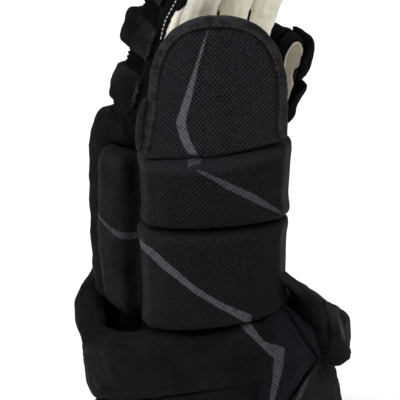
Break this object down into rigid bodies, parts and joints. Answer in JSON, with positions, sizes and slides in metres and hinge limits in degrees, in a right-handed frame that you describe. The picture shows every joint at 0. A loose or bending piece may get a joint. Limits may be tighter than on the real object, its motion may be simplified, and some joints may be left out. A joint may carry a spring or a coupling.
{
  "type": "ice hockey glove",
  "caption": "Left ice hockey glove standing on its flared cuff: padded rolls and finger blocks in black cloth, U-shaped thumb guard, cream leather palm.",
  "frame": {"origin": "middle of the glove's outline on the surface that the cuff's hem stands on", "axes": "+X the way the palm faces, -Y the thumb's side, +Z from the cuff's hem to the fingertips"},
  "size_m": [0.1628, 0.1644, 0.3287],
  "materials": {
    "palm_leather": "soft cream suede-like palm leather, matt",
    "pad_twill": "near-black fine twill nylon over foam, satin",
    "guard_mesh": "near-black open mesh over fine diagonal rib, satin",
    "lining_cloth": "black knitted lining and gusset cloth, matt",
    "binding_tape": "black woven binding tape, satin"
  },
  "bodies": {
    "root": {"cuff_lining": "lining_cloth", "hand_back_shell": "lining_cloth", "palm_leather": "palm_leather", "thumb_stall": "palm_leather", "index_palm_leather": "palm_leather", "index_gusset": "lining_cloth", "index_block_1": "pad_twill", "index_block_2": "pad_twill", "index_block_3": "pad_twill", "index_block_4": "pad_twill", "middle_palm_leather": "palm_leather", "middle_gusset": "lining_cloth", "middle_block_1": "pad_twill", "middle_block_2": "pad_twill", "middle_block_3": "pad_twill", "middle_block_4": "pad_twill", "ring_palm_leather": "palm_leather", "ring_gusset": "lining_cloth", "ring_block_1": "pad_twill", "ring_block_2": "pad_twill", "ring_block_3": "pad_twill", "ring_block_4": "pad_twill", "pinky_palm_leather": "palm_leather", "pinky_gusset": "lining_cloth", "pinky_block_1": "pad_twill", "pinky_block_2": "pad_twill", "pinky_side_pad_1": "pad_twill", "pinky_side_pad_2": "pad_twill", "lower_thumb_roll": "guard_mesh", "upper_thumb_roll": "guard_mesh", "thumb_guard": "guard_mesh", "thumb_binding": "binding_tape", "thumb_tab": "binding_tape", "pinky_side_roll": "pad_twill", "back_pinky_roll": "pad_twill", "back_middle_roll": "pad_twill", "back_index_roll": "pad_twill", "index_side_roll": "pad_twill", "index_side_panel": "lining_cloth", "pinky_side_panel": "lining_cloth", "cuff_upper_roll": "pad_twill", "cuff_lower_roll": "pad_twill", "cuff_front_panel": "pad_twill", "cuff_palm_flap": "pad_twill", "cuff_palm_lower_roll": "pad_twill"}
  },
  "joints": []
}
